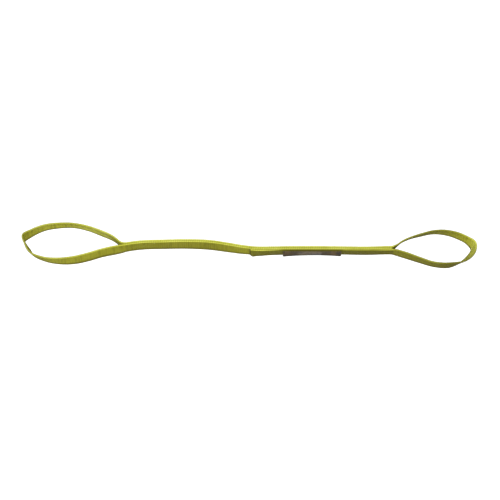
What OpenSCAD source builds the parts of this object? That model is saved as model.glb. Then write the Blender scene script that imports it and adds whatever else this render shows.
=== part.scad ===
// Flat eye-and-eye web sling: one long strip of webbing, folded into two soft eyes and
// sewn to itself. It lies on its edge, as it does when it is laid down half open.
// X runs along the sling, Z is up the webbing's width, and the floor is at Z = 0.

/* [Webbing] */
// Width of the webbing
web_width = 50; // [44:1:56]
// Thickness of one ply
ply_thick = 4; // [3:0.1:4.2]
// Gap between two plies that are sewn together
ply_gap = 0.3; // [0.3:0.05:0.5]

/* [Flexing] */
// Gap along the strip at each bend line
flex_gap = 11; // [10.5:0.5:14]

/* [Splice] */
// Where the cut end of the front ply lies
front_end_x = 0; // [-4:1:10]

/* [Stitching] */
// Width of a row of thread
thread_width = 1.2; // [0.8:0.1:1.6]
// How far a row of thread stands proud of the webbing
thread_proud = 0.6; // [0.4:0.1:0.7]
// Distance from the webbing's edge to the edge rows
row_inset = 6; // [5:0.5:8]
// Length of one half wave of the zigzag stitching
zigzag_step = 5; // [4:0.5:8]

/* [Label] */
// Where the label starts
label_x = 84; // [80:1:100]
// Length of the label
label_length = 150; // [120:1:180]
// Height of the label
label_height = 45; // [38:1:46]
// Thickness of the label
label_thick = 1; // [0.8:0.1:1.4]
// How far the label's loose lower edge stands off the webbing
label_flare = 4; // [2:0.5:5]

/* [Hidden] */

WEBBING = [0.70, 0.70, 0.26];
THREAD = [0.80, 0.80, 0.36];
LABEL = [0.33, 0.26, 0.20];

// A route is a list of knots [x, y, lean]: the middle of the webbing's height, and the
// angle in degrees by which its top leans towards the left of the direction of travel.

// The body, from the left throat to the right one: the line between its two inner plies
BODY = [
    [-325, -5, -3], [-300, -0.5, -3.5], [-275, 2.5, -3.5], [-225, 4.2, -3.5], [-165, 5.2, -2.5],
    [-100, 2.2, -1.5], [-55, -4.8, -2.5], [-15, -11, -5], [15, -13.3, -7.5], [50, -12, -10.5],
    [110, -10.5, -11.5], [210, -10.3, -12.5], [310, -11.5, -12], [340, -10.5, -12], [370, -10, -11.5]
];
// Knots of the body at its bend lines
LEFT_BEND = 2;
MIDDLE_BEND = 4;
SPLICE_BEND = 7;
RIGHT_BEND = 12;
BODY_END = len(BODY) - 1;

// The left eye, from the throat along the near side, round the tip and back
LEFT_EYE = [
    [-325, -8, 1], [-350, -13, -1], [-380, -20, 0], [-415, -31.5, 0], [-451, -40.2, 2],
    [-489.8, -42.7, 6.9], [-530.5, -36.4, 13], [-561.5, -20.2, 15.3], [-571, -3.1, 13.5],
    [-582.1, 22.8, 1.6], [-567.4, 32.9, -2], [-529.5, 51.5, -7.6], [-491.5, 57.9, -10.4],
    [-456.1, 58.2, -12], [-420, 50.5, -10.5], [-385, 37, -8], [-350, 20, -8.5], [-325, -3, -7]
];
LEFT_NEAR_KNOT = 4;
LEFT_TIP_KNOT = 9;
LEFT_FAR_KNOT = 13;
LEFT_END_KNOT = len(LEFT_EYE) - 1;

// The right eye, from the throat along the far side, round the tip and back
RIGHT_EYE = [
    [370, -7, -12], [388, 10.5, -18], [410, 21.8, -19], [440, 31.3, -17],
    [472.3, 38.9, -15.2], [500.1, 38.2, -11.4], [531.3, 29.8, -6.4], [560.4, 13.6, -0.7],
    [573.8, -1.7, 11.3], [568.1, -21.4, 22.8], [548.5, -41.5, 23.3], [512.9, -54.2, 11],
    [471.5, -52.2, 10.8], [435, -40, 8.5], [400, -27, 6.5], [370, -17, 7]
];
RIGHT_FAR_KNOT = 4;
RIGHT_TIP_KNOT = 8;
RIGHT_NEAR_KNOT = 12;
RIGHT_END_KNOT = len(RIGHT_EYE) - 1;

// Number of short straight lengths between two knots
STEPS = 6;
// Clearance between a row of thread and the webbing under it
THREAD_CLEAR = 0.12;
// Clearance between the label and the thread under it
LABEL_CLEAR = 0.1;
// Distance from the webbing's upper edge down to the label's
LABEL_DROP = 0.5;
// Length of the box of stitches at a throat, and at the splice
THROAT_BOX = 34;
SPLICE_BOX = 60;
// Distance from a cut end to the first stitch
END_MARGIN = 4;

// Distances of the plies' middles from the body's line, front is negative
ply_pitch = ply_thick + ply_gap;
back_ply = ply_pitch / 2;
inner_ply = -ply_pitch / 2;
front_ply = -1.5 * ply_pitch;
row_heights = [row_inset, web_width - row_inset];
row_face = ply_thick / 2 + THREAD_CLEAR;

// ---- Routes ----

function plan(k) = [k.x, k.y];
function gap_after(route, i) = norm(plan(route[i + 1]) - plan(route[i]));
function rise(route, i) = (route[i + 1] - route[i]) / gap_after(route, i);

// Change per millimetre of x, y and lean at knot i
function slope(route, i) =
    i <= 0 ? rise(route, 0)
    : i >= len(route) - 1 ? rise(route, len(route) - 2)
    : let (a = gap_after(route, i - 1), b = gap_after(route, i))
        (b * rise(route, i - 1) + a * rise(route, i)) / (a + b);

// The smooth curve through the knots, at place u, where knot i is at u = i
function at(route, u) =
    let (
        i = max(0, min(floor(u), len(route) - 2)),
        f = u - i,
        g = gap_after(route, i)
    )
        (2 * f ^ 3 - 3 * f ^ 2 + 1) * route[i]
        + (f ^ 3 - 2 * f ^ 2 + f) * g * slope(route, i)
        + (3 * f ^ 2 - 2 * f ^ 3) * route[i + 1]
        + (f ^ 3 - f ^ 2) * g * slope(route, i + 1);

function heading(route, u) =
    let (e = 0.01, d = plan(at(route, u + e)) - plan(at(route, u - e))) d / norm(d);

// The point at place u, out to the left of the route and up the webbing's width
function spot(route, u, out, up) =
    let (
        k = at(route, u),
        h = heading(route, u),
        aside = out / cos(k.z) + (up - web_width / 2) * sin(k.z)
    )
        [k.x - h.y * aside, k.y + h.x * aside, up * cos(k.z)];

// Places at a distance after or before a knot
function after(route, i, d) = i + d / gap_after(route, i);
function before(route, i, d) = i - d / gap_after(route, i - 1);

// The place on the body at x, which grows all along it
function body_place(x) =
    let (i = max([for (k = [0:BODY_END - 1]) if (BODY[k].x <= x) k]))
        i + (x - BODY[i].x) / (BODY[i + 1].x - BODY[i].x);

function places(u0, u1, n) = [for (k = [0:n]) u0 + (u1 - u0) * k / n];

// ---- Building blocks ----

// A closed solid through a list of four-cornered rings
module skin(rings) {
    last = 4 * (len(rings) - 1);
    sides = [
        for (i = [0:len(rings) - 2], k = [0:3])
            let (a = 4 * i + k, b = 4 * i + (k + 1) % 4)
                each [[a, a + 4, b + 4], [a, b + 4, b]]
    ];
    polyhedron(
        points = [for (r = rings) each r],
        faces = concat([[0, 1, 2, 3]], sides, [[last + 3, last + 2, last + 1, last]]),
        convexity = 8
    );
}

function ring(route, u, right, left, low, high) = [
    spot(route, u, right, low),
    spot(route, u, left, low),
    spot(route, u, left, high),
    spot(route, u, right, high)
];

// One length of ply between two places, its middle at distance out from the route
module ply(route, u0, u1, out = 0) {
    n = max(2, ceil((u1 - u0) * STEPS));
    color(WEBBING)
        skin([
            for (u = places(u0, u1, n))
                ring(route, u, out - ply_thick / 2, out + ply_thick / 2, 0, web_width)
        ]);
}

// A length of the body's ply between two of its knots, clear of the bend lines
module body_ply(i0, i1, out) {
    ply(BODY, after(BODY, i0, flex_gap / 2), before(BODY, i1, flex_gap / 2), out);
}

// A length of an eye between two of its knots
module eye_ply(route, i0, i1) {
    ply(route, after(route, i0, flex_gap / 2), before(route, i1, flex_gap / 2));
}

// Straight rows of thread along both edges of one face, on the side given
module edge_row_pair(u0, u1, out, side) {
    n = max(2, ceil((u1 - u0) * STEPS));
    near = out + side * row_face;
    far = near + side * thread_proud;
    color(THREAD)
        for (height = row_heights)
            skin([
                for (u = places(u0, u1, n))
                    ring(
                        BODY, u, min(near, far), max(near, far),
                        height - thread_width / 2, height + thread_width / 2
                    )
            ]);
}

// Edge rows on the front and back of a length of the body
module edge_rows(u0, u1, front_out) {
    edge_row_pair(u0, u1, front_out, -1);
    edge_row_pair(u0, u1, back_ply, 1);
}

// A zigzag of thread between the edge rows, on the side of the ply given
module zigzag(u0, u1, length, out, side) {
    n = max(2, round(length / zigzag_step));
    near = out + side * row_face;
    far = near + side * thread_proud;
    low = row_heights[0] + 2.5 * thread_width;
    high = row_heights[1] - 2.5 * thread_width;
    line = places(u0, u1, n);
    color(THREAD)
        skin([
            for (k = [0:n])
                let (height = k % 2 == 0 ? low : high)
                    ring(
                        BODY, line[k], min(near, far), max(near, far),
                        height - thread_width, height + thread_width
                    )
        ]);
}

// ---- Plies of the body ----

module right_front_ply() {
    ply(BODY, body_place(front_end_x), before(BODY, RIGHT_BEND, flex_gap / 2), front_ply);
}
module right_inner_ply() {
    body_ply(SPLICE_BEND, RIGHT_BEND, inner_ply);
}
module right_back_ply() {
    body_ply(SPLICE_BEND, RIGHT_BEND, back_ply);
}
module middle_front_ply() {
    body_ply(MIDDLE_BEND, SPLICE_BEND, inner_ply);
}
module middle_back_ply() {
    body_ply(MIDDLE_BEND, SPLICE_BEND, back_ply);
}
module left_front_ply() {
    body_ply(LEFT_BEND, MIDDLE_BEND, inner_ply);
}
module left_back_ply() {
    body_ply(LEFT_BEND, MIDDLE_BEND, back_ply);
}
module left_throat_front_ply() {
    body_ply(0, LEFT_BEND, inner_ply);
}
module left_throat_back_ply() {
    body_ply(0, LEFT_BEND, back_ply);
}
module right_throat_front_ply() {
    body_ply(RIGHT_BEND, BODY_END, front_ply);
}
module right_throat_inner_ply() {
    body_ply(RIGHT_BEND, BODY_END, inner_ply);
}
module right_throat_back_ply() {
    body_ply(RIGHT_BEND, BODY_END, back_ply);
}

// ---- Eyes ----

module left_eye_near_leg() {
    eye_ply(LEFT_EYE, 0, LEFT_NEAR_KNOT);
}
module left_eye_near_tip() {
    eye_ply(LEFT_EYE, LEFT_NEAR_KNOT, LEFT_TIP_KNOT);
}
module left_eye_far_tip() {
    eye_ply(LEFT_EYE, LEFT_TIP_KNOT, LEFT_FAR_KNOT);
}
module left_eye_far_leg() {
    eye_ply(LEFT_EYE, LEFT_FAR_KNOT, LEFT_END_KNOT);
}
module right_eye_far_leg() {
    eye_ply(RIGHT_EYE, 0, RIGHT_FAR_KNOT);
}
module right_eye_far_tip() {
    eye_ply(RIGHT_EYE, RIGHT_FAR_KNOT, RIGHT_TIP_KNOT);
}
module right_eye_near_tip() {
    eye_ply(RIGHT_EYE, RIGHT_TIP_KNOT, RIGHT_NEAR_KNOT);
}
module right_eye_near_leg() {
    eye_ply(RIGHT_EYE, RIGHT_NEAR_KNOT, RIGHT_END_KNOT);
}

// ---- Stitching ----

module right_edge_rows() {
    u0 = body_place(front_end_x + SPLICE_BOX + 2 * END_MARGIN);
    edge_rows(u0, before(BODY, RIGHT_BEND, flex_gap), front_ply);
}
module middle_edge_rows() {
    edge_rows(
        after(BODY, MIDDLE_BEND, flex_gap), before(BODY, SPLICE_BEND, flex_gap), inner_ply
    );
}
module left_edge_rows() {
    edge_rows(
        after(BODY, LEFT_BEND, flex_gap), before(BODY, MIDDLE_BEND, flex_gap), inner_ply
    );
}

// A box of stitches through all plies: edge rows with a zigzag between them, on both faces
module stitch_box(x0, length, front_out) {
    u0 = body_place(x0);
    u1 = body_place(x0 + length);
    edge_rows(u0, u1, front_out);
    zigzag(u0, u1, length, front_out, -1);
    zigzag(u0, u1, length, back_ply, 1);
}

module splice_stitches() {
    stitch_box(front_end_x + END_MARGIN, SPLICE_BOX, front_ply);
}
module left_throat_stitches() {
    stitch_box(BODY[0].x + flex_gap / 2 + END_MARGIN, THROAT_BOX, inner_ply);
}
module right_throat_stitches() {
    stitch_box(BODY[BODY_END].x - flex_gap / 2 - END_MARGIN - THROAT_BOX, THROAT_BOX, front_ply);
}

// ---- Label ----

label_top = web_width - LABEL_DROP;
label_low = label_top - label_height;
label_face = front_ply - row_face - thread_proud - LABEL_CLEAR;

function label_ring(u, out, thick) = [
    spot(BODY, u, out - label_flare - thick, label_low),
    spot(BODY, u, out - label_flare, label_low),
    spot(BODY, u, out, label_top),
    spot(BODY, u, out - thick, label_top)
];

// A thin tag that is sewn on by its upper edge, and whose lower edge stands off
module label() {
    color(LABEL)
        skin([
            for (u = places(body_place(label_x), body_place(label_x + label_length), 3 * STEPS))
                label_ring(u, label_face, label_thick)
        ]);
}

// Two rows of thread along the label's upper edge
module label_stitches() {
    out = label_face - label_thick - THREAD_CLEAR;
    lean = label_flare / label_height;
    u0 = body_place(label_x + END_MARGIN);
    u1 = body_place(label_x + label_length - END_MARGIN);
    color(THREAD)
        for (drop = [3, 7])
            skin([
                for (u = places(u0, u1, 3 * STEPS))
                    let (near = out - lean * (drop + thread_width), far = near - thread_proud)
                        ring(
                            BODY, u, far, near,
                            label_top - drop - thread_width, label_top - drop
                        )
            ]);
}

right_front_ply();
right_inner_ply();
right_back_ply();
middle_front_ply();
middle_back_ply();
left_front_ply();
left_back_ply();
left_throat_front_ply();
left_throat_back_ply();
right_throat_front_ply();
right_throat_inner_ply();
right_throat_back_ply();
left_eye_near_leg();
left_eye_near_tip();
left_eye_far_tip();
left_eye_far_leg();
right_eye_near_leg();
right_eye_near_tip();
right_eye_far_tip();
right_eye_far_leg();
right_edge_rows();
middle_edge_rows();
left_edge_rows();
splice_stitches();
left_throat_stitches();
right_throat_stitches();
label();
label_stitches();
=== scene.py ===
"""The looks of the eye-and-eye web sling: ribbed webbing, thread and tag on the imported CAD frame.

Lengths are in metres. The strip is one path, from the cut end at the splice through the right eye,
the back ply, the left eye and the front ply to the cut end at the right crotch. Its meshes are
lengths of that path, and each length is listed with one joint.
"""
import math

import bpy
import numpy as np
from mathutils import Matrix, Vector


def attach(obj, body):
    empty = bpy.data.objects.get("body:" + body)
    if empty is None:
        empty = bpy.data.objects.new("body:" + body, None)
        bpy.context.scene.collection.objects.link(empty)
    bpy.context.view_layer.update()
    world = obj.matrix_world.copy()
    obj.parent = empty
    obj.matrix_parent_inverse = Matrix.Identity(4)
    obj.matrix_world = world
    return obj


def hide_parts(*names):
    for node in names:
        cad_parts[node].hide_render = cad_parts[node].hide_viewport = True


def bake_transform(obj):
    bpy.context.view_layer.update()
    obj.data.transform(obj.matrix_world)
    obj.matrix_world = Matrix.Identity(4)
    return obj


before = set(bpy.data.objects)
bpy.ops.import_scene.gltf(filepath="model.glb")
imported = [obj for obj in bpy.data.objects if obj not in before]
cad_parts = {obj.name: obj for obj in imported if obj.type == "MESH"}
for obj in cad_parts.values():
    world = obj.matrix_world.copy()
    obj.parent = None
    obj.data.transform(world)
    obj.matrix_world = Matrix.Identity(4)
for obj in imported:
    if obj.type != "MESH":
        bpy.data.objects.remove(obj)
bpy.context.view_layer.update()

MM = 0.001
WIDTH = 50 * MM
THICK = 4 * MM
PITCH = 4.3 * MM
RIB = 2.8 * MM
STATIONS_PER_RIB = 4
STEP = RIB / STATIONS_PER_RIB
RIB_DEPTH = 0.17 * MM
SCALLOP = 0.3 * MM
EDGE_ROUND = 1.5 * MM
BACK_PLY, INNER_PLY, FRONT_PLY = PITCH / 2, -PITCH / 2, -1.5 * PITCH

# Routes as in the CAD: [x, y, lean] in millimetres and degrees, at the middle of the height.
# BODY's knots were listed from measured edge heights. The knots round both eyes' tips are the result
# of a least-squares fit to the photo's outline, which report.md lists as a rule that isn't met.
BODY = np.array([
    [-325, -5, -3], [-300, -0.5, -3.5], [-275, 2.5, -3.5], [-225, 4.2, -3.5], [-165, 5.2, -2.5],
    [-100, 2.2, -1.5], [-55, -4.8, -2.5], [-15, -11, -5], [15, -13.3, -7.5], [50, -12, -10.5],
    [110, -10.5, -11.5], [210, -10.3, -12.5], [310, -11.5, -12], [340, -10.5, -12], [370, -10, -11.5],
], float)
LEFT_EYE = np.array([
    [-325, -8, 1], [-350, -13, -1], [-380, -20, 0], [-415, -31.5, 0], [-451, -40.2, 2],
    [-489.8, -42.7, 6.9], [-530.5, -36.4, 13], [-561.5, -20.2, 15.3], [-571, -3.1, 13.5],
    [-582.1, 22.8, 1.6], [-567.4, 32.9, -2], [-529.5, 51.5, -7.6], [-491.5, 57.9, -10.4],
    [-456.1, 58.2, -12], [-420, 50.5, -10.5], [-385, 37, -8], [-350, 20, -8.5], [-325, -3, -7],
], float)
RIGHT_EYE = np.array([
    [370, -7, -12], [388, 10.5, -18], [410, 21.8, -19], [440, 31.3, -17],
    [472.3, 38.9, -15.2], [500.1, 38.2, -11.4], [531.3, 29.8, -6.4], [560.4, 13.6, -0.7],
    [573.8, -1.7, 11.3], [568.1, -21.4, 22.8], [548.5, -41.5, 23.3], [512.9, -54.2, 11],
    [471.5, -52.2, 10.8], [435, -40, 8.5], [400, -27, 6.5], [370, -17, 7],
], float)
for route in (BODY, LEFT_EYE, RIGHT_EYE):
    route[:, :2] *= MM


# ---- Routes ----

def slopes(route):
    """Change of x, y and lean per metre at each knot."""
    gaps = np.hypot(*np.diff(route[:, :2], axis=0).T)
    rises = np.diff(route, axis=0) / gaps[:, None]
    before, after = gaps[:-1, None], gaps[1:, None]
    inner = (after * rises[:-1] + before * rises[1:]) / (before + after)
    return gaps, np.vstack([rises[:1], inner, rises[-1:]])


def along(route, u):
    """The smooth curve through the knots at the places u, where knot i is at u = i."""
    gaps, slope = slopes(route)
    i = np.clip(np.floor(u).astype(int), 0, len(route) - 2)
    f = (u - i)[:, None]
    g = gaps[i][:, None]
    return (
        (2 * f**3 - 3 * f**2 + 1) * route[i] + (f**3 - 2 * f**2 + f) * g * slope[i]
        + (3 * f**2 - 2 * f**3) * route[i + 1] + (f**3 - f**2) * g * slope[i + 1]
    )


def normals(points):
    """The left-hand horizontal normal at each point of a plan curve."""
    d = np.gradient(points[:, :2], axis=0)
    d /= np.linalg.norm(d, axis=1)[:, None]
    return np.column_stack([-d[:, 1], d[:, 0]])


POINTS_PER_KNOT, LEAST_POINTS = 24, 8


def run(route, u0, u1, out=0.0):
    """Points [x, y, tilt x, tilt y] along a route from place u0 to u1, at a distance out from it."""
    low, high = sorted((u0, u1))
    fine = np.linspace(low, high, max(LEAST_POINTS, int((high - low) * POINTS_PER_KNOT)))
    p = along(route, fine)
    n = normals(p)
    lean = np.radians(p[:, 2])
    xy = p[:, :2] + n * (out / np.cos(lean))[:, None]
    points = np.hstack([xy, n * np.sin(lean)[:, None]])
    return points if u1 > u0 else points[::-1]


def body_place(x):
    """The place on the body at x."""
    i = int(np.searchsorted(BODY[:, 0], x) - 1)
    i = min(max(i, 0), len(BODY) - 2)
    return i + (x - BODY[i, 0]) / (BODY[i + 1, 0] - BODY[i, 0])


def smooth(values, sigma, step):
    """A Gaussian blur along the first axis, with the ends carried on straight."""
    reach = int(4 * sigma / step)
    kernel = np.exp(-0.5 * (np.arange(-reach, reach + 1) * step / sigma) ** 2)
    kernel /= kernel.sum()
    before = 2 * values[0] - values[1:reach + 1][::-1]
    after = 2 * values[-1] - values[-reach - 1:-1][::-1]
    padded = np.vstack([before, values, after])
    return np.column_stack([np.convolve(c, kernel, "valid") for c in padded.T])


def resample(points, step):
    """The same line with points a fixed distance apart."""
    lengths = np.r_[0, np.cumsum(np.hypot(*np.diff(points[:, :2], axis=0).T))]
    count = int(lengths[-1] / step)
    at = np.arange(count + 1) * step
    return np.column_stack([np.interp(at, lengths, c) for c in points.T])


# The strip's runs, in order from the cut end at the splice
FRONT, RIGHT, BACK, LEFT, INNER = range(5)
# Length left out on both sides of a run's end, and the blur that rounds the strip across it
THROAT_BLEND = 5 * MM
THROAT_BLUR = 3.2 * MM
FRONT_END_X = 0.0
INNER_END_X = 366 * MM
last = len(BODY) - 1
runs = [
    run(BODY, body_place(FRONT_END_X), last, FRONT_PLY),
    run(RIGHT_EYE, len(RIGHT_EYE) - 1, 0),
    run(BODY, last, 0, BACK_PLY),
    run(LEFT_EYE, len(LEFT_EYE) - 1, 0),
    run(BODY, 0, body_place(INNER_END_X), INNER_PLY),
]
for i in range(len(runs)):
    lengths = np.r_[0, np.cumsum(np.hypot(*np.diff(runs[i][:, :2], axis=0).T))]
    low = THROAT_BLEND if i > 0 else 0
    high = lengths[-1] - (THROAT_BLEND if i < len(runs) - 1 else 0)
    runs[i] = runs[i][(lengths >= low) & (lengths <= high)]
run_marks = np.concatenate([np.full(len(r), k) for k, r in enumerate(runs)])
strip = resample(np.column_stack([np.vstack(runs), run_marks]), STEP)
strip_run = np.round(strip[:, 4]).astype(int)
strip = smooth(strip[:, :4], THROAT_BLUR, STEP)


def frames(points):
    """Centre, height axis and face normal at each station, standing on the floor."""
    d = np.gradient(points[:, :2], axis=0)
    d /= np.linalg.norm(d, axis=1)[:, None]
    tangent = np.column_stack([d, np.zeros(len(d))])
    tilt = points[:, 2:4]
    up = np.column_stack([tilt, np.sqrt(1 - (tilt**2).sum(1))])
    face = np.cross(tangent, up)
    face /= np.linalg.norm(face, axis=1)[:, None]
    z = WIDTH / 2 * up[:, 2] + THICK / 2 * np.abs(face[:, 2])
    return np.column_stack([points[:, :2], z]), up, face


# The cut end at the splice stands off at its lower corner.
LIFTED_LENGTH = 22 * MM
LIFTED_LEAN = math.radians(2.6)
lifted = np.clip(1 - np.arange(len(strip)) * STEP / LIFTED_LENGTH, 0, 1) ** 2 * math.sin(LIFTED_LEAN)
strip[:, 1] -= lifted * WIDTH / 2
strip[:, 3] += lifted
strip_centre, strip_up, strip_face = frames(strip)


WAVES = 7
WAVES_ACROSS = 120


def wander(s, v, seed, low=20, high=190):
    """Slow unevenness between -1 and 1, from a few fixed waves of the given numbers per metre."""
    rng = np.random.default_rng(seed)
    total = np.zeros(np.broadcast(s, v).shape)
    for _ in range(WAVES):
        a = rng.uniform(low, high)
        b = rng.uniform(-WAVES_ACROSS, WAVES_ACROSS)
        c = rng.uniform(0, 2 * math.pi)
        total += np.sin(a * s + b * v + c)
    return total / WAVES


# The plies aren't quite level with each other.
UNEVEN = 0.35 * MM
strip_centre += strip_up * (UNEVEN * (1 + wander(np.arange(len(strip)) * STEP, 0, 11, 8, 60)))[:, None]


def station(xy, marks):
    """The strip's station nearest to a point, on the given run."""
    near = np.hypot(*(strip[:, :2] - np.array(xy)[:2]).T)
    near[~np.isin(strip_run, marks)] = np.inf
    return int(near.argmin())


SHORT_RUN = 0.01


def on_body(x, out):
    """The point at x on the body, at a distance out from its route."""
    return run(BODY, body_place(x), body_place(x) + SHORT_RUN, out)[0, :2]


def knot(route, u):
    """The point at place u on a route."""
    return along(route, np.array([float(u)]))[0, :2]


# ---- Meshes ----

def make(name, points, faces, material, uvs=None, values=None, flat=()):
    """A smooth closed mesh, with the given faces flat."""
    mesh = bpy.data.meshes.new(name)
    mesh.from_pydata([tuple(p) for p in points], [], faces)
    smooth = np.ones(len(mesh.polygons), bool)
    smooth[list(flat)] = False
    mesh.polygons.foreach_set("use_smooth", smooth)
    if uvs is not None:
        layer = mesh.uv_layers.new(name="weave")
        layer.data.foreach_set("uv", np.asarray(uvs, np.float32).ravel())
    for key, value in (values or {}).items():
        attribute = mesh.attributes.new(key, "FLOAT", "POINT")
        attribute.data.foreach_set("value", np.asarray(value, np.float32).ravel())
    mesh.materials.append(material)
    mesh.update()
    piece = bpy.data.objects.new(name, mesh)
    bpy.context.scene.collection.objects.link(piece)
    return piece


def tube_faces(rings, sides):
    """Faces between rings of points, and the two end faces."""
    i, j = np.meshgrid(np.arange(rings - 1), np.arange(sides), indexing="ij")
    a, b = i * sides + j, i * sides + (j + 1) % sides
    quads = np.stack([a, a + sides, b + sides, b], axis=-1).reshape(-1, 4)
    ends = [tuple(np.arange(sides)), tuple((rings - 1) * sides + np.arange(sides)[::-1])]
    return [tuple(q) for q in quads.tolist()] + [tuple(int(v) for v in e) for e in ends]


def webbing_section():
    """The webbing's cross-section as rows of (across, through, 1 on a face or 0 on an edge)."""
    flat = WIDTH / 2 - EDGE_ROUND
    columns = np.array([-1, -0.9, -0.68, -0.35, 0, 0.35, 0.68, 0.9, 1]) * flat
    turn = np.radians([60, 30, 0, -30, -60])
    front = [(v, 1, 1) for v in columns]
    top = [(flat + EDGE_ROUND * math.cos(a), math.sin(a), 0) for a in turn]
    back = [(v, -1, 1) for v in columns[::-1]]
    low = [(-flat - EDGE_ROUND * math.cos(a), -math.sin(a), 0) for a in turn]
    return np.array(front + top + back + low)


SECTION = webbing_section()
SELVEDGE = 4 * MM
# A tab's length in stations, and its thickness and width beside the webbing's
TAB = 6
TAB_THICKNESS, TAB_WIDTH = 0.42, 0.97
# How much thinner the webbing is at its selvedges, and how much of the ribs is left on its edges
EDGE_THINNING, EDGE_RELIEF = 0.12, 0.35
# Depth of the ribs that all are alike, and of the wave over every other rib
RIB_SHARE, COARSE_SHARE = 0.7, 0.4
FACE_WANDER = 0.06 * MM
# A cut end is thinner over its last millimetres, charred, ragged, and trimmed at its lower corner
CUT_THINNING, CUT_ROUND, CHAR_LENGTH, RAGGED = 0.3, 1.6 * MM, 3.5 * MM, 0.5 * MM
TRIM_LENGTH, TRIM_HEIGHT = 8 * MM, 16 * MM
# How much of the top selvedge's painted highlight the faces take on beside it
HIGHLIGHT_ON_FACE = 0.35


def edge_part(across):
    """0 on the middle of a face, growing to 1 at the selvedges."""
    return np.clip((np.abs(across) - (WIDTH / 2 - SELVEDGE)) / SELVEDGE, 0, 1)


def relief(k):
    """The ribs at some stations: half the thickness, the reach across, and the two waves they come from."""
    s = k * STEP
    swing = np.cos(2 * math.pi * s / RIB)[:, None]
    coarse = np.cos(math.pi * s / RIB)[:, None] * plain[k][:, None]
    across, through, on_face = (c[None, :] for c in SECTION.T)
    half = (THICK / 2 - RIB_DEPTH) * (1 - EDGE_THINNING * edge_part(across)**2)
    ribs = RIB_DEPTH * (RIB_SHARE * swing + COARSE_SHARE * coarse)
    half = half + ribs * (EDGE_RELIEF + (1 - EDGE_RELIEF) * on_face)
    half = half + FACE_WANDER * wander(s[:, None], across * np.sign(through), 5)
    reach = across + (1 - on_face) * np.sign(across) * SCALLOP * (swing - 1) / 2
    return half, reach, swing, coarse


def rings(k, half, reach):
    """The points of the section at some stations of the strip."""
    return (
        strip_centre[k][:, None, :]
        + strip_up[k][:, None, :] * (reach + 0 * half)[:, :, None]
        + strip_face[k][:, None, :] * (half * SECTION[None, :, 1])[:, :, None]
    )


def hide_seams(piece, seams):
    """Shades the given end rings of a ribbon as if the strip weren't cut there."""
    mesh, sides = piece.data, len(SECTION)
    at = np.zeros(len(mesh.loops), int)
    mesh.loops.foreach_get("vertex_index", at)
    normals = np.zeros((len(at), 3))
    on_side = np.arange(len(at)) < len(at) - 2 * sides
    for ring, k in seams:
        near = np.array([k - 1, k, k + 1])
        p = rings(near, *relief(near)[:2])
        normal = np.cross(np.roll(p[1], -1, 0) - np.roll(p[1], 1, 0), p[2] - p[0])
        normal /= np.linalg.norm(normal, axis=1, keepdims=True)
        normal *= np.sign(np.sum(normal * (p[1] - p[1].mean(0))))
        here = on_side & (at // sides == ring)
        normals[here] = normal[at[here] % sides]
    mesh.normals_split_custom_set(normals.tolist())


def ribbon(name, first, past, tab=None, cut=None):
    """A closed length of the strip between two stations. Its ends are seams with its neighbours,
    except for a tab, which is a thin end inside a neighbour, and a cut, which is heat-sealed."""
    k = np.arange(first - (TAB if tab == "first" else 0), past + 1 + (TAB if tab == "past" else 0))
    s = k * STEP
    across, through, on_face = (c[None, :] for c in SECTION.T)
    edge = edge_part(across)
    half, reach, swing, coarse = relief(k)
    scale, char = np.ones(len(k)), np.zeros(len(k))
    if tab:
        hidden = (k < first) if tab == "first" else (k > past)
        scale[hidden] = TAB_THICKNESS
        reach = reach * np.where(hidden, TAB_WIDTH, 1)[:, None]
    if cut:
        depth = (k - first if cut == "first" else past - k) * STEP
        scale = 1 - CUT_THINNING * np.clip(1 - depth / CUT_ROUND, 0, 1) ** 2
        char = np.clip(1 - depth / CHAR_LENGTH, 0, 1)
        ragged = RAGGED * wander(across * 6, 0, 3, 200, 900) * char[:, None]
    half = half * scale[:, None]
    points = rings(k, half, reach)
    if cut:
        trim = np.clip(1 - (across + WIDTH / 2) / TRIM_HEIGHT, 0, 1) ** 1.5 * TRIM_LENGTH
        inwards = 1 if cut == "first" else -1
        trim = trim * np.clip(1 - depth / (3 * TRIM_LENGTH), 0, 1)[:, None] * inwards
        forward = np.gradient(strip_centre, axis=0)[k][:, None, :] / STEP
        points += forward * (ragged + trim)[:, :, None]
    n, m = points.shape[:2]
    faces = tube_faces(n, m)
    turn = np.r_[0, np.cumsum(np.hypot(np.diff(SECTION[:, 0]), np.diff(SECTION[:, 1]) * THICK / 2))]
    turn = np.r_[turn, turn[-1] + THICK / 2]
    i, j = np.meshgrid(np.arange(n - 1), np.arange(m), indexing="ij")
    uv = np.stack([
        np.stack([s[i], turn[j]], -1), np.stack([s[i + 1], turn[j]], -1),
        np.stack([s[i + 1], turn[j + 1]], -1), np.stack([s[i], turn[j + 1]], -1),
    ], axis=2).reshape(-1, 2)
    ends = np.zeros((2 * m, 2)) + [s[0], 0]
    values = {
        # Painted highlight on the top selvedge and on the face just below it, and painted light on faces
        # where the table is below 0
        "rim": (1 - on_face + HIGHLIGHT_ON_FACE * edge * on_face) * (across > 0) + painted_light(k, through) * on_face,
        # Painted shade along the lower edge
        "painted_low_shade": painted_low_shade(k, across) + 0 * half,
        # Painted shade in the hollows between the ribs
        "groove": (1 - swing) / 4 + (1 - coarse) / 4 + 0 * half,
        # Painted shade from the table and on the front ply's top edge
        "shade": shade_of(k, across, through),
        "char": char[:, None] + 0 * half,
    }
    caps = (len(faces) - 2, len(faces) - 1)
    piece = make(name, points.reshape(-1, 3), faces, webbing, np.vstack([uv, ends]), values, caps)
    seams = [("first", 0, first), ("past", n - 1, past)]
    hide_seams(piece, [(ring, k_end) for end, ring, k_end in seams if end not in (tab, cut)])
    return piece


# Height over which the painted shade at the lower edge fades out
LOW_SHADE_HEIGHT = 17 * MM
TAG_START, TAG_END, TAG_FADE = 84 * MM, 234 * MM, 8 * MM
# Where the outer rounding of the front ply's top edge gets painted shade
SHADED_EDGE_START, SHADED_EDGE_END, SHADED_EDGE_FADE = 75 * MM, 310 * MM, 45 * MM


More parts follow.
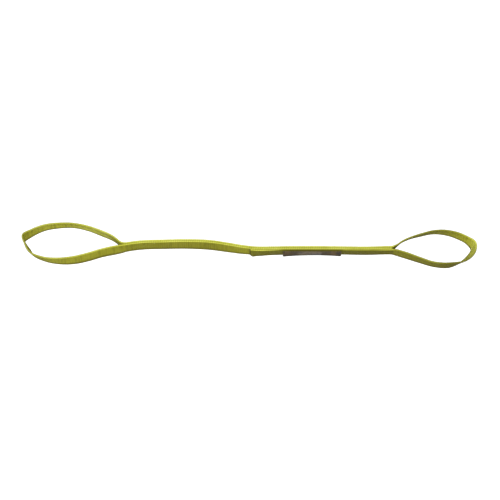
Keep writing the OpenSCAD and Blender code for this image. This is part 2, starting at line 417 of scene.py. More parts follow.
def painted_low_shade(k, across):
    """Painted shade, darkest at the lower edge that the strip stands on and fading upwards, stronger on the
    front ply, and a little on the front ply's top edge beside the tag.
    """
    low = np.clip(1 - (across + WIDTH / 2) / LOW_SHADE_HEIGHT, 0, 1)
    front = (strip_run[k] == FRONT)[:, None]
    by_tag = between(strip[k, 0][:, None], TAG_START, TAG_END, TAG_FADE)
    high = by_tag * edge_part(across) * (across > 0)
    return np.clip(low**0.8 + front * (0.4 * low + 0.15 * high), 0, 1)


# Painted shade at places along the strip: how far its top edge, outer face and inner face are darkened
# towards a dull olive, as shade where the light falls less on them.
# A place is x in millimetres on a run of the body, or a knot of an eye. Below 0 a face gets painted light
# instead.
PAINTED_SHADE_AND_LIGHT = {
    FRONT: [(0, 0.05, 0.85, 0.3), (90, 0.05, 1, 0.3), (300, 0.1, 1, 0.3), (366, 0.3, 0.95, 0.4)],
    RIGHT: [
        (15, 0.55, 0.75, 0.4), (13, 0.6, 0.8, 0.3), (12, 0.7, 0.9, 0.2), (11, 0.9, 1, 0.1),
        (10, 0.95, 1, -0.4), (9, 0.75, 1, -0.8), (8, 0.15, 0.9, -0.7), (7, 0.25, 0.8, -0.1),
        (6, 0.55, 0.7, 0.3), (5, 0.75, 0.6, 0.6), (4, 0.75, 0.6, 0.72), (2, 0.65, 0.6, 0.85),
        (0, 0.5, 0.6, 0.85),
    ],
    BACK: [(366, 0.05, 0.5, 0.3), (-320, 0, 0.5, 0.3)],
    LEFT: [
        (17, 0.1, 0.5, -0.6), (14, 0.1, 0.5, -0.6), (13, 0.3, 0.5, 0), (11, 0.3, 0.5, 0.05),
        (10, 0.4, 0.5, 0.25), (9, 0.6, 0.55, 0.45), (8, 0.5, 0.55, 0.1), (7, 0.5, 0.5, 0.1),
        (6, 0.35, 0.47, 0.1), (4, 0.3, 0.44, 0.1), (0, 0.15, 0.5, 0.15),
    ],
    INNER: [
        (-320, 0.1, 0.55, 0.3), (-270, 0.1, 0.66, 0.3), (-100, 0.1, 0.66, 0.3), (-40, 0.1, 0.5, 0.3),
        (366, 0.1, 0.6, 0.3),
    ],
}


def painted_shade_and_light_map():
    """The three amounts of painted shade at every station, painted light where below 0."""
    rows = []
    for mark, table in PAINTED_SHADE_AND_LIGHT.items():
        for place, *values in table:
            if mark in (LEFT, RIGHT):
                xy = knot(LEFT_EYE if mark == LEFT else RIGHT_EYE, place)
            else:
                xy = on_body(place * MM, {FRONT: FRONT_PLY, INNER: INNER_PLY, BACK: BACK_PLY}[mark])
            rows.append([station(xy, mark), *values])
    rows = np.array(sorted(rows))
    return np.column_stack([np.interp(np.arange(len(strip)), rows[:, 0], c) for c in rows.T[1:]])


def between(x, low, high, soft):
    """1 between low and high, fading to 0 over a soft length outside them."""
    return np.clip((x - low) / soft + 1, 0, 1) * np.clip((high - x) / soft + 1, 0, 1)


def shade_of(k, across, through):
    """How much painted shade the webbing gets at every point of a ribbon: from the table on its faces and
    top edge, and more on the front ply's top edge beside the tag.
    """
    top, outer, inner = (c[:, None] for c in painted_shade_light_and_wear[k].T)
    on_top = edge_part(across) * (across > 0)
    front = (strip_run[k] == FRONT)[:, None]
    x = strip[k, 0][:, None]
    # Painted shade on the front ply's top edge: a little beside the tag, and strongly on its outer rounding
    by_tag = between(x, TAG_START, TAG_END, TAG_FADE)
    shaded_top_edge = between(x, SHADED_EDGE_START, SHADED_EDGE_END, SHADED_EDGE_FADE) * np.clip(1.6 * through + 0.4, 0, 1)
    top = top + (0.25 * by_tag + 0.9 * shaded_top_edge) * front
    return np.clip(np.where(through > 0, outer, inner) * (1 - on_top) + top * on_top, 0, 1)


def painted_light(k, through):
    """How much painted light the faces get: the table's values below 0, which mix a face towards the top
    edge's highlight colour.
    """
    return np.clip(-np.where(through > 0, *(c[:, None] for c in painted_shade_light_and_wear[k, 1:].T)), 0, 1)


# Painted shade and painted light from the table, at every station
painted_shade_light_and_wear = painted_shade_and_light_map()
# The wave over every other rib stands out less on the eyes than on the body.
EYE_COARSE = 0.35
plain = np.where(np.isin(strip_run, (LEFT, RIGHT)), EYE_COARSE, 1.0)
plain = smooth(plain[:, None], 8 * MM, STEP)[:, 0]


# ---- Materials ----

def srgb(r, g, b):
    """A colour of 0 to 255 as Blender's linear one."""
    return tuple(
        c / 12.92 if c <= 0.04045 else ((c + 0.055) / 1.055) ** 2.4 for c in (r / 255, g / 255, b / 255)
    ) + (1.0,)


class Nodes:
    """A short way to build a material's node tree."""

    def __init__(self, name):
        self.material = bpy.data.materials.new(name)
        self.material.use_nodes = True
        self.tree = self.material.node_tree
        self.tree.nodes.clear()

    def add(self, kind, inputs=None, **settings):
        node = self.tree.nodes.new(kind)
        for key, value in settings.items():
            setattr(node, key, value)
        for key, value in (inputs or {}).items():
            if isinstance(value, bpy.types.NodeSocket):
                self.tree.links.new(value, node.inputs[key])
            else:
                node.inputs[key].default_value = value
        return node

    def math(self, operation, *values, clamp=False):
        inputs = dict(enumerate(values))
        return self.add("ShaderNodeMath", inputs, operation=operation, use_clamp=clamp).outputs[0]

    def mix(self, factor, a, b):
        inputs = {0: factor, 6: a, 7: b}
        return self.add("ShaderNodeMix", inputs, data_type="RGBA").outputs[2]

    def attribute(self, name):
        return self.add("ShaderNodeAttribute", attribute_name=name).outputs["Fac"]

    def object_place(self):
        return self.add("ShaderNodeTexCoord").outputs["Object"]

    def scaled(self, vector, *scale):
        return self.add("ShaderNodeMapping", {"Vector": vector, "Scale": scale}).outputs[0]

    def noise(self, vector, scale, detail=2.0, roughness=0.5):
        inputs = {"Vector": vector, "Scale": scale, "Detail": detail, "Roughness": roughness}
        return self.add("ShaderNodeTexNoise", inputs).outputs["Fac"]

    def ramp(self, value, low, high):
        inputs = {0: value, 1: low, 2: high}
        return self.add("ShaderNodeMapRange", inputs, interpolation_type="SMOOTHSTEP").outputs[0]

    def finish(self, color, roughness, height=None, distance=MM, strength=1.0, **fixed):
        inputs = {"Base Color": color, "Roughness": roughness}
        if height is not None:
            bump = {"Height": height, "Distance": distance, "Strength": strength}
            inputs["Normal"] = self.add("ShaderNodeBump", bump).outputs[0]
        inputs.update({key.replace("_", " "): value for key, value in fixed.items()})
        shader = self.add("ShaderNodeBsdfPrincipled", inputs)
        out = self.add("ShaderNodeOutputMaterial")
        self.tree.links.new(shader.outputs[0], out.inputs[0])
        return self.material


FACE_DARK, FACE_LIGHT, FACE_STREAK = (180, 180, 44), (204, 203, 68), (192, 191, 56)
# Colours of the painted highlight on the top selvedge
TOP_HIGHLIGHT_DARK, TOP_HIGHLIGHT_LIGHT = (212, 215, 84), (233, 237, 112)
# Colours of the dirt and painted shade along the lower edge, of the painted shade in grooves, of the duller
# bands and the painted shade from the tables, and of charred cut ends
DIRT_AND_SHADE, GROOVE_SHADE, DULL_AND_SHADE, CHARRED = (76, 70, 18), (88, 84, 8), (80, 77, 14), (52, 44, 6)
YARN = 1.25 * MM


def webbing_material():
    """Rows of yarn with ribs across them and random blotches, streaks and bands, with a painted highlight
    on the top selvedge, painted shade where the ribbons say so, in the grooves and along the lower edge,
    specks of dirt and charred cut ends.
    """
    n = Nodes("webbing")
    uv = n.add("ShaderNodeUVMap", uv_map="weave").outputs[0]
    s, v, _ = n.add("ShaderNodeSeparateXYZ", {0: uv}).outputs
    yarn = n.math("DIVIDE", v, YARN)
    yarn_round = n.math("ABSOLUTE", n.math("SINE", n.math("MULTIPLY", yarn, math.pi)))
    turn = n.math("MULTIPLY", n.math("MODULO", n.math("FLOOR", yarn), 2.0), 0.6 * math.pi)
    pick = n.math("COSINE", n.math("MULTIPLY_ADD", s, 2 * math.pi / RIB, turn))
    fine = n.noise(n.scaled(uv, 900, 3200, 1), 1.0, 3.0)
    weave = n.math(
        "MULTIPLY", n.math("POWER", yarn_round, 0.6), n.math("MULTIPLY_ADD", pick, 0.38, 0.62)
    )
    place = n.object_place()
    blotch = n.noise(place, 14.0, 4.0, 0.55)
    streak = n.noise(n.scaled(uv, 8, 420, 1), 1.0, 2.0)
    band = n.noise(n.scaled(uv, 210, 10, 1), 1.0, 1.0)
    speck = n.noise(place, 420.0, 3.0, 0.6)
    face = n.mix(n.ramp(blotch, 0.35, 0.68), srgb(*FACE_DARK), srgb(*FACE_LIGHT))
    face = n.mix(n.ramp(streak, 0.38, 0.7), face, srgb(*FACE_STREAK))
    face = n.mix(n.math("MULTIPLY", n.ramp(band, 0.52, 0.66), 0.33), face, srgb(*DULL_AND_SHADE))
    # The painted highlight on the top selvedge, spread onto the faces where the ribbons say
    edge = n.mix(n.ramp(blotch, 0.3, 0.7), srgb(*TOP_HIGHLIGHT_DARK), srgb(*TOP_HIGHLIGHT_LIGHT))
    color = n.mix(n.attribute("rim"), face, edge)
    # Painted shade where the ribbons' tables say
    color = n.mix(n.attribute("shade"), color, srgb(*DULL_AND_SHADE))
    # Painted shade in the hollows between the yarns and between the ribs
    hollow = n.math("SUBTRACT", 1.0, weave, clamp=True)
    color = n.mix(n.math("MULTIPLY", hollow, 0.5), color, srgb(*GROOVE_SHADE))
    color = n.mix(n.math("MULTIPLY", n.attribute("groove"), 0.45), color, srgb(*GROOVE_SHADE))
    # Specks of dirt, and the painted shade along the lower edge
    dirt_and_low_shade = n.math("MULTIPLY_ADD", n.ramp(speck, 0.55, 0.75), 0.25, n.attribute("painted_low_shade"), clamp=True)
    color = n.mix(dirt_and_low_shade, color, srgb(*DIRT_AND_SHADE))
    color = n.mix(n.attribute("char"), color, srgb(*CHARRED))
    height = n.math("MULTIPLY_ADD", fine, 0.18, weave)
    roughness = n.math("MULTIPLY_ADD", fine, 0.2, 0.7)
    return n.finish(color, roughness, height, 0.35 * MM, 0.8, Specular_IOR_Level=0.05)


def thread_material(name, dark, light, groove):
    """A twisted thread of one colour, with the painted shade of the webbing beside it, painted shade in its
    twist, and specks of dirt and wear.
    """
    n = Nodes(name)
    place = n.object_place()
    twist = n.add(
        "ShaderNodeTexWave", {"Vector": place, "Scale": 700.0, "Distortion": 1.5, "Detail": 1.0},
        bands_direction="DIAGONAL",
    ).outputs["Fac"]
    color = n.mix(n.ramp(n.noise(place, 60.0), 0.3, 0.7), srgb(*dark), srgb(*light))
    color = n.mix(n.attribute("shade"), color, srgb(*DULL_AND_SHADE))
    # Painted shade in the grooves of the twist
    color = n.mix(n.math("MULTIPLY", twist, 0.35), color, srgb(*groove))
    # Random specks of dirt and wear
    painted_shade_light_and_wear = n.ramp(n.noise(place, 500.0, 3.0), 0.55, 0.75)
    color = n.mix(n.math("MULTIPLY", painted_shade_light_and_wear, 0.5), color, srgb(*DIRT_AND_SHADE))
    roughness = n.math("MULTIPLY_ADD", twist, 0.15, 0.55)
    return n.finish(color, roughness, twist, 0.1 * MM, 0.6, Specular_IOR_Level=0.15)


TAG_BROWN, TAG_DARK, TAG_RED, TAG_GREY, TAG_BLUE, TAG_RIM = (
    (62, 48, 12), (28, 22, 8), (74, 56, 20), (86, 76, 58), (70, 71, 76), (92, 76, 34)
)
# Worn patches: place along the tag, half width
TAG_PATCHES = (0.07, 0.05), (0.87, 0.06)
TAG_PANEL = 0.24, 0.7


def tag_material():
    """The worn tag: a brown sheet with two rubbed patches and a plain grey panel, without a print."""
    n = Nodes("tag")
    uv = n.add("ShaderNodeUVMap", uv_map="weave").outputs[0]
    u, v, _ = n.add("ShaderNodeSeparateXYZ", {0: uv}).outputs
    place = n.object_place()
    mottle = n.noise(place, 110.0, 4.0, 0.65)
    rub = n.noise(place, 50.0, 3.0, 0.55)
    grain = n.noise(place, 1400.0, 2.0)
    where = n.math("ADD", u, n.math("MULTIPLY_ADD", rub, 0.16, -0.08))
    brown = n.mix(n.ramp(mottle, 0.38, 0.66), srgb(*TAG_DARK), srgb(*TAG_BROWN))
    patches = [
        n.ramp(n.math("ABSOLUTE", n.math("SUBTRACT", where, middle)), half, 0.4 * half)
        for middle, half in TAG_PATCHES
    ]
    patch = n.math("MULTIPLY", n.math("MAXIMUM", *patches), n.ramp(mottle, 0.3, 0.5))
    brown = n.mix(n.math("MULTIPLY", patch, 0.9), brown, srgb(*TAG_RED))
    start, end = TAG_PANEL
    panel = n.math("MULTIPLY", n.ramp(where, start, start + 0.06), n.ramp(where, end, end - 0.06))
    panel = n.math("MULTIPLY", panel, n.ramp(v, 1.0, 0.8))
    blue = n.math("MULTIPLY", n.ramp(v, 0.6, 0.1), n.ramp(where, 0.4, 0.55))
    grey = n.mix(blue, srgb(*TAG_GREY), srgb(*TAG_BLUE))
    grey = n.mix(n.math("MULTIPLY", n.ramp(mottle, 0.5, 0.38), 0.7), grey, srgb(*TAG_DARK))
    color = n.mix(panel, brown, grey)
    color = n.mix(n.math("MULTIPLY", n.ramp(v, 0.3, 0.08), 0.8), color, srgb(*TAG_DARK))
    color = n.mix(n.math("MULTIPLY", n.attribute("rim"), 0.7), color, srgb(*TAG_RIM))
    roughness = n.math("MULTIPLY_ADD", mottle, 0.3, 0.5)
    height = n.math("MULTIPLY_ADD", mottle, 0.6, n.math("MULTIPLY", grain, 0.25))
    return n.finish(color, roughness, height, 0.3 * MM, 0.7, Specular_IOR_Level=0.08)


webbing = webbing_material()
thread = thread_material("thread", (140, 139, 24), (164, 164, 44), (100, 97, 12))
tag_thread = thread_material("tag_thread", (82, 72, 38), (104, 94, 54), (52, 44, 24))
tag = tag_material()


# ---- Joints ----

# Each joint's bodies, the route and knot it is at, and half the length that bends, in millimetres
BENDS = {
    "left_throat_flex": ("left_throat", "left_body", BODY, 2, 24),
    "left_flex": ("left_body", "middle_body", BODY, 4, 48),
    "middle_flex": ("middle_body", "right_body", BODY, 7, 60),
    "right_throat_flex": ("right_body", "right_throat", BODY, 12, 28),
    "left_eye_open": ("left_throat", "left_near_leg", LEFT_EYE, 0, 21),
    "left_eye_near_bend": ("left_near_leg", "left_near_tip", LEFT_EYE, 4, 38),
    "left_eye_tip_bend": ("left_near_tip", "left_far_tip", LEFT_EYE, 9, 27),
    "left_eye_far_bend": ("left_far_tip", "left_far_leg", LEFT_EYE, 13, 38),
    "right_eye_open": ("right_throat", "right_near_leg", RIGHT_EYE, 15, 24),
    "right_eye_near_bend": ("right_near_leg", "right_near_tip", RIGHT_EYE, 12, 38),
    "right_eye_tip_bend": ("right_near_tip", "right_far_tip", RIGHT_EYE, 8, 26),
    "right_eye_far_bend": ("right_far_tip", "right_far_leg", RIGHT_EYE, 4, 38),
}


# How far from its knot a bend's direction is taken, in knots
NEARBY = 0.1


def bend_with(piece, joint):
    """Bakes a piece's transform into its mesh; the direction across the joint is worked out but not used.
    """
    before, after, route, knot_at, half = BENDS[joint]
    nearby = along(route, np.clip(knot_at + np.array([-NEARBY, NEARBY]), 0, len(route) - 1))
    d = nearby[1, :2] - nearby[0, :2]
    if route is RIGHT_EYE:
        d = -d
    d = np.append(d / np.linalg.norm(d), 0) * half * MM
    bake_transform(piece)


# ---- The strip's pieces ----

def snapped(k):
    """The nearest station in the groove between two ribs."""
    ribs = int(round((k - STATIONS_PER_RIB / 2) / STATIONS_PER_RIB))
    return ribs * STATIONS_PER_RIB + STATIONS_PER_RIB // 2


LEFT_SEAM, MIDDLE_SEAM, SPLICE_SEAM, RIGHT_SEAM = -220 * MM, -90 * MM, 150 * MM, 340 * MM
LEFT_THROAT_SEAM = -300 * MM
cuts = {
    "front_right": station(on_body(SPLICE_SEAM, FRONT_PLY), FRONT),
    "front_throat": station(on_body(RIGHT_SEAM, FRONT_PLY), FRONT),
    "right_near": station(knot(RIGHT_EYE, 13.5), RIGHT),
    "right_near_tip": station(knot(RIGHT_EYE, 10), RIGHT),
    "right_far_tip": station(knot(RIGHT_EYE, 6), RIGHT),
    "right_throat": station(knot(RIGHT_EYE, 0), [RIGHT, BACK]),
    "back_right": station(on_body(SPLICE_SEAM, BACK_PLY), BACK),
    "back_middle": station(on_body(MIDDLE_SEAM, BACK_PLY), BACK),
    "back_left": station(on_body(LEFT_SEAM, BACK_PLY), BACK),
    "left_throat": station(knot(LEFT_EYE, len(LEFT_EYE) - 1), [BACK, LEFT]),
    "left_far_tip": station(knot(LEFT_EYE, 11), LEFT),
    "left_near_tip": station(knot(LEFT_EYE, 6.4), LEFT),
    "left_near": station(knot(LEFT_EYE, 2), LEFT),
    "inner_throat": station(on_body(LEFT_THROAT_SEAM, INNER_PLY), INNER),
    "inner_left": station(on_body(LEFT_SEAM, INNER_PLY), INNER),
    "inner_middle": station(on_body(MIDDLE_SEAM, INNER_PLY), INNER),
    "inner_right": station(on_body(SPLICE_SEAM, INNER_PLY), INNER),
}
cuts = {name: snapped(k) for name, k in cuts.items()}
cuts["front_end"], cuts["inner_end"] = 0, len(strip) - 1

# Name, first and last cut, joint that it is listed with, and the CAD nodes that it replaces
PIECES = [
    ("front_ply_tagged", "front_end", "front_right", "middle_flex", ["right_front_ply"]),
    ("front_ply_right", "front_right", "front_throat", "right_throat_flex", ["right_front_ply"]),
    ("right_eye_root", "front_throat", "right_near", "right_eye_open",
     ["right_throat_front_ply", "right_eye_near_leg"]),
    ("right_eye_near_side", "right_near", "right_near_tip", "right_eye_near_bend",
     ["right_eye_near_leg", "right_eye_near_tip"]),
    ("right_eye_tip", "right_near_tip", "right_far_tip", "right_eye_tip_bend",
     ["right_eye_near_tip", "right_eye_far_tip"]),
    ("right_eye_far_side", "right_far_tip", "right_throat", "right_eye_far_bend",
     ["right_eye_far_tip", "right_eye_far_leg"]),
    ("back_ply_right", "right_throat", "back_right", "right_throat_flex",
     ["right_throat_back_ply", "right_back_ply"]),
    ("back_ply_splice", "back_right", "back_middle", "middle_flex",
     ["right_back_ply", "middle_back_ply"]),
    ("back_ply_middle", "back_middle", "back_left", "left_flex",
     ["middle_back_ply", "left_back_ply"]),
    ("back_ply_left", "back_left", "left_throat", "left_throat_flex",
     ["left_back_ply", "left_throat_back_ply"]),
    ("left_eye_far_side", "left_throat", "left_far_tip", "left_eye_far_bend",
     ["left_eye_far_leg", "left_eye_far_tip"]),
    ("left_eye_tip", "left_far_tip", "left_near_tip", "left_eye_tip_bend",
     ["left_eye_far_tip", "left_eye_near_tip"]),
    ("left_eye_near_side", "left_near_tip", "left_near", "left_eye_near_bend",
     ["left_eye_near_tip", "left_eye_near_leg"]),
    ("left_eye_root", "left_near", "inner_throat", "left_eye_open",
     ["left_eye_near_leg", "left_throat_front_ply"]),
    ("front_ply_left", "inner_throat", "inner_left", "left_throat_flex",
     ["left_throat_front_ply", "left_front_ply"]),
    ("front_ply_middle", "inner_left", "inner_middle", "left_flex",
     ["left_front_ply", "middle_front_ply"]),
    ("inner_ply_splice", "inner_middle", "inner_right", "middle_flex",
     ["middle_front_ply", "right_inner_ply"]),
    ("inner_ply_right", "inner_right", "inner_end", "right_throat_flex",
     ["right_inner_ply", "right_throat_inner_ply"]),
]
TABS = {"right_eye_far_side": "past", "left_eye_far_side": "first"}
CUT_ENDS = {"front_ply_tagged": "first", "inner_ply_right": "past"}

for name, start, end, joint, nodes in PIECES:
    first, past = cuts[start], cuts[end]
    piece = ribbon(name, first, past, TABS.get(name), CUT_ENDS.get(name))
    bend_with(piece, joint)
    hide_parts(*nodes)


# ---- Stitching ----

STITCH_PITCH = 6 * MM
# The part of the pitch that the thread is seen over
STITCH_SHARE = 0.82
THREAD_RADIUS = 0.45 * MM
THREAD_SIDES = 6
THREAD_JITTER = 0.12 * MM
# Along one stitch: places from 0 to 1, height above the face, and thickness beside the thread's
STITCH_PLACES = np.array([0, 0.12, 0.3, 0.5, 0.7, 0.88, 1])
STITCH_LIFT = np.array([-0.57, -0.07, 0.2, 0.28, 0.2, -0.07, -0.57]) * MM
STITCH_SWELL = np.array([0.55, 0.9, 1, 1, 1, 0.9, 0.55])
ROW_INSET = 6 * MM
ROW_HEIGHTS = (ROW_INSET - WIDTH / 2, WIDTH / 2 - ROW_INSET)
ZIGZAG_STEP, ZIGZAG_PITCH, ZIGZAG_INSET = 5 * MM, 5 * MM, 3 * MM
ZIGZAG_HEIGHTS = (ROW_HEIGHTS[0] + ZIGZAG_INSET, ROW_HEIGHTS[1] - ZIGZAG_INSET)


def at_x(x, mark):
    """The place along the strip, in stations, where a run of the body has this x."""
    k = np.flatnonzero(strip_run == mark)
    xs = strip_centre[k, 0]
    order = np.argsort(xs)
    return float(np.interp(x, xs[order], k[order]))


def on_face(k, across, out):
    """Points at places k along the strip, at a height and a distance out from its outer face."""
    i = np.clip(np.floor(k).astype(int), 0, len(strip) - 2)
    f = (k - i)[:, None]
    centre, up, face = (a[i] * (1 - f) + a[i + 1] * f for a in (strip_centre, strip_up, strip_face))
    return centre + up * across[:, None] + face * (THICK / 2 + out)[:, None]


def stitch_lines(corners, pitch=STITCH_PITCH):
    """Stitches along a line of (place, across) corners, each as its two ends."""
    stitches = []
    for (k0, v0), (k1, v1) in zip(corners[:-1], corners[1:]):
        length = math.hypot((k1 - k0) * STEP, v1 - v0)
        count = max(1, round(length / pitch))
        for i in range(count):
            ends = [(i + 0.5 + side * STITCH_SHARE / 2) / count for side in (-1, 1)]
            stitches.append([v for e in ends for v in (k0 + (k1 - k0) * e, v0 + (v1 - v0) * e)])
    return stitches


def thread_mesh(name, stitches, material=None, base=0.0, place=on_face):
    """One mesh of short round stitches that dip into the face at both ends."""
    t = STITCH_PLACES
    lift = STITCH_LIFT + base
    swell = STITCH_SWELL * THREAD_RADIUS
    angles = np.arange(THREAD_SIDES) * 2 * math.pi / THREAD_SIDES
    cosines, sines = np.cos(angles)[None, :, None], np.sin(angles)[None, :, None]
    ring_points = len(t) * THREAD_SIDES
    rng = np.random.default_rng(17)
    points, faces, shade = [], [], []
    for k0, v0, k1, v1 in stitches:
        jitter = rng.normal(0, THREAD_JITTER, 2)
        k = k0 + (k1 - k0) * t
        v = v0 + (v1 - v0) * t + jitter[0] + (jitter[1] - jitter[0]) * t
        line = place(k, v, lift)
        tangent = np.gradient(line, axis=0)
        tangent /= np.linalg.norm(tangent, axis=1)[:, None]
        out = place(k, v, lift + 10 * MM) - line
        side = np.cross(tangent, out)
        side /= np.linalg.norm(side, axis=1)[:, None]
        out = np.cross(side, tangent)
        around = side[:, None, :] * cosines + out[:, None, :] * sines
        ring = line[:, None, :] + around * swell[:, None, None]
        first_point = len(points) * ring_points
        points.append(ring.reshape(-1, 3))
        faces += [tuple(first_point + i for i in f) for f in tube_faces(len(t), THREAD_SIDES)]
        # Each stitch takes the painted shade of the outer face under it
        shade += [0.0 if material else painted_shade_light_and_wear[int(k0), 1]] * ring_points
    return make(name, np.vstack(points), faces, material or thread, values={"shade": shade})


def edge_rows(x0, x1, mark):
    """Stitches near both edges between two places on the outer face of a run."""
    k0, k1 = at_x(x0 * MM, mark), at_x(x1 * MM, mark)
    return [s for v in ROW_HEIGHTS for s in stitch_lines([(k0, v), (k1, v)])]


def zigzag(x0, x1, mark):
    """A zigzag of stitches between the edge rows."""
    k0, k1 = at_x(x0 * MM, mark), at_x(x1 * MM, mark)
    n = max(2, round(abs(x1 - x0) * MM / ZIGZAG_STEP))
    corners = [(k0 + (k1 - k0) * i / n, ZIGZAG_HEIGHTS[i % 2]) for i in range(n + 1)]
    return stitch_lines(corners, ZIGZAG_PITCH)


# Name, stitches, joint that it is listed with and the CAD nodes that it replaces
SEWN = [
    ("edge_rows_left_throat", edge_rows(-322, -222, INNER) + edge_rows(-322, -222, BACK),
     "left_throat_flex", ["left_edge_rows"]),
    ("edge_rows_left", edge_rows(-218, -92, INNER) + edge_rows(-218, -92, BACK),
     "left_flex", ["left_edge_rows", "middle_edge_rows"]),
    ("edge_rows_middle", edge_rows(-88, -5, INNER) + edge_rows(-88, 148, BACK) + edge_rows(5, 148, FRONT),
     "middle_flex", ["middle_edge_rows", "right_edge_rows"]),
    ("edge_rows_right", edge_rows(152, 366, FRONT) + edge_rows(152, 366, BACK),
     "right_throat_flex", ["right_edge_rows"]),
    ("box_stitches_left_throat", zigzag(-318, -284, INNER) + zigzag(-318, -284, BACK),
     "left_throat_flex", ["left_throat_stitches"]),
    ("box_stitches_splice", zigzag(5, 64, FRONT) + zigzag(5, 64, BACK),
     "middle_flex", ["splice_stitches"]),
    ("box_stitches_right_throat", zigzag(327, 361, FRONT) + zigzag(327, 361, BACK),
     "right_throat_flex", ["right_throat_stitches"]),
]
for name, stitches, joint, nodes in SEWN:
    piece = thread_mesh(name, stitches)
    bend_with(piece, joint)
    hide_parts(*nodes)

# ---- Tag ----

TAG_LENGTH, TAG_HEIGHT, TAG_THICK = TAG_END - TAG_START, 45 * MM, 0.9 * MM
TAG_TOP = WIDTH / 2 - 0.5 * MM
TAG_OUT = 0.82 * MM
TAG_K = at_x(TAG_START, FRONT), at_x(TAG_END, FRONT)
CORNER = 5 * MM
# How much of a corner's round is cut from the tag's upper and lower edge
UPPER_CUT, LOWER_CUT = 0.25, 0.8
# How far the tag's lower edge stands off, how much more at its ends, and how wavy it is
FLARE, END_FLARE, TAG_WAVE = 1.6 * MM, 2.4 * MM, 0.5 * MM
TAG_BULGE, TAG_EDGE_THICKNESS, TAG_WORN_RIM = 0.5 * MM, 0.35, 1.5 * MM
TAG_ROW_DROPS, TAG_ROW_INSET, TAG_THREAD_SINK = (3.5 * MM, 7.5 * MM), 4 * MM, 0.1 * MM
TAG_COLUMNS, TAG_ROWS = 76, 24


def tag_place(k, across, out):
    """Points on the tag: flat at its top edge, and standing off more and more below it."""
    u = (k - TAG_K[0]) / (TAG_K[1] - TAG_K[0])
    down = np.clip((TAG_TOP - across) / TAG_HEIGHT, 0, 1)
    ends = np.abs(2 * u - 1) ** 3
    flare = FLARE + END_FLARE * ends + TAG_WAVE * wander(u * TAG_LENGTH, across, 8, 30, 140)
    return on_face(k, across, out + TAG_OUT + flare * down**1.3)


def tag_faces(columns, rows):
    """Faces of a thin closed sheet: the inner and the outer grid of points, and the rim between them."""
    i, j = np.meshgrid(np.arange(columns - 1), np.arange(rows - 1), indexing="ij")
    a = (i * rows + j).ravel()
    quads = np.stack([a, a + rows, a + rows + 1, a + 1], -1)
    n = columns * rows
    border = (
        [i * rows for i in range(columns)] + [(columns - 1) * rows + j for j in range(1, rows)]
        + [i * rows + rows - 1 for i in range(columns - 2, -1, -1)] + [j for j in range(rows - 2, 0, -1)]
    )
    rim = [(p, q, q + n, p + n) for p, q in zip(border, border[1:] + border[:1])]
    inner = [tuple(q) for q in quads[:, ::-1].tolist()]
    outer = [tuple(q) for q in (quads + n).tolist()]
    return inner + outer + [r[::-1] for r in rim]


def make_tag():
    """The tag: a thin sheet with rounded corners and a worn rim."""
    columns, rows = TAG_COLUMNS, TAG_ROWS
    u, w = np.meshgrid(np.linspace(0, 1, columns), np.linspace(0, 1, rows), indexing="ij")
    end_gap = np.minimum(u, 1 - u) * TAG_LENGTH
    edge_gap = np.minimum(w, 1 - w) * TAG_HEIGHT
    inset = np.clip(1 - end_gap / CORNER, 0, 1)
    cut = CORNER * (1 - np.sqrt(1 - inset**2))
    top, low = TAG_TOP - UPPER_CUT * cut, TAG_TOP - TAG_HEIGHT + LOWER_CUT * cut
    across = low + (top - low) * w
    k = TAG_K[0] + (TAG_K[1] - TAG_K[0]) * u
    edge = np.minimum(end_gap, edge_gap)
    bulge = np.clip(edge / TAG_BULGE, 0, 1)
    half = TAG_THICK / 2 * (TAG_EDGE_THICKNESS + (1 - TAG_EDGE_THICKNESS) * np.sqrt(bulge))
    flat_k, flat_v = k.ravel(), across.ravel()
    outer = tag_place(flat_k, flat_v, TAG_THICK / 2 + half.ravel())
    inner = tag_place(flat_k, flat_v, TAG_THICK / 2 - half.ravel())
    faces = tag_faces(columns, rows)
    uv_of = np.tile(np.column_stack([u.ravel(), w.ravel()]), (2, 1))
    uvs = uv_of[np.concatenate([list(f) for f in faces])]
    near_edge = np.clip(1 - edge.ravel() / TAG_WORN_RIM, 0, 1)
    return make("tag", np.vstack([inner, outer]), faces, tag, uvs, {"rim": np.r_[near_edge, near_edge]})


tag_piece = make_tag()
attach(tag_piece, "right_body")
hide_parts("label")

row_start, row_end = at_x(TAG_START + TAG_ROW_INSET, FRONT), at_x(TAG_END - TAG_ROW_INSET, FRONT)
tag_rows = [
    s for drop in TAG_ROW_DROPS
    for s in stitch_lines([(row_start, TAG_TOP - drop), (row_end, TAG_TOP - drop)])
]
tag_stitches = thread_mesh("tag_stitches", tag_rows, tag_thread, TAG_THICK - TAG_THREAD_SINK, tag_place)
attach(tag_stitches, "right_body")
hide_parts("label_stitches")

# ---- Floor, lights and camera ----

FILL = 0.14
KEY_AZIMUTH, KEY_ELEVATION, KEY_FAR, KEY_SIZE, KEY_POWER = 0, 66, 7.2, 0.7, 850

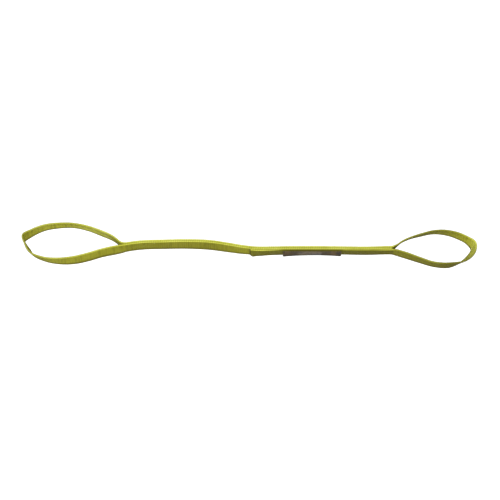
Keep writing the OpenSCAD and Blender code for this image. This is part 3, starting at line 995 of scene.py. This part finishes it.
FLOOR_HALF = 30.0
floor_mesh = bpy.data.meshes.new("floor")
floor_mesh.from_pydata(
    [(x * FLOOR_HALF, y * FLOOR_HALF, 0) for x, y in ((-1, -1), (1, -1), (1, 1), (-1, 1))],
    [], [(0, 1, 2, 3)],
)
floor = bpy.data.objects.new("floor", floor_mesh)
bpy.context.scene.collection.objects.link(floor)
paint = Nodes("floor_paint")
floor_mesh.materials.append(paint.finish(
    paint.mix(paint.noise(paint.object_place(), 3.0), srgb(240, 240, 240), srgb(243, 243, 243)), 0.9,
))

world = bpy.data.worlds.new("studio")
bpy.context.scene.world = world
world.use_nodes = True
backdrop = world.node_tree.nodes["Background"]
backdrop.inputs[0].default_value = (1, 1, 1, 1)
backdrop.inputs[1].default_value = FILL

AIM = Vector((0, 0, 0))


def direction(azimuth, elevation):
    """The direction from the object towards a place round it. Azimuth 0 is in front of it."""
    a, e = math.radians(azimuth), math.radians(elevation)
    return Vector((math.sin(a) * math.cos(e), -math.cos(a) * math.cos(e), math.sin(e)))


def softbox(name, azimuth, elevation, far, size, power):
    """A round area light that faces the object."""
    lamp = bpy.data.lights.new(name, "AREA")
    lamp.shape, lamp.size, lamp.energy = "DISK", size, power
    light = bpy.data.objects.new(name, lamp)
    towards = direction(azimuth, elevation)
    light.location = towards * far
    light.rotation_euler = towards.to_track_quat("Z", "Y").to_euler()
    bpy.context.scene.collection.objects.link(light)


softbox("key", KEY_AZIMUTH, KEY_ELEVATION, KEY_FAR, KEY_SIZE, KEY_POWER)

AZIMUTH, ELEVATION = 0, 65
LENS, SENSOR = 200, 36
FRAME_WIDTH = 1.288
camera_data = bpy.data.cameras.new("camera")
camera_data.lens, camera_data.sensor_width = LENS, SENSOR
camera = bpy.data.objects.new("camera", camera_data)
towards = direction(AZIMUTH, ELEVATION)
camera.location = AIM + towards * (FRAME_WIDTH * LENS / SENSOR)
camera.rotation_euler = towards.to_track_quat("Z", "Y").to_euler()
bpy.context.scene.collection.objects.link(camera)
bpy.context.scene.camera = camera
bpy.context.scene.view_settings.view_transform = "Standard"
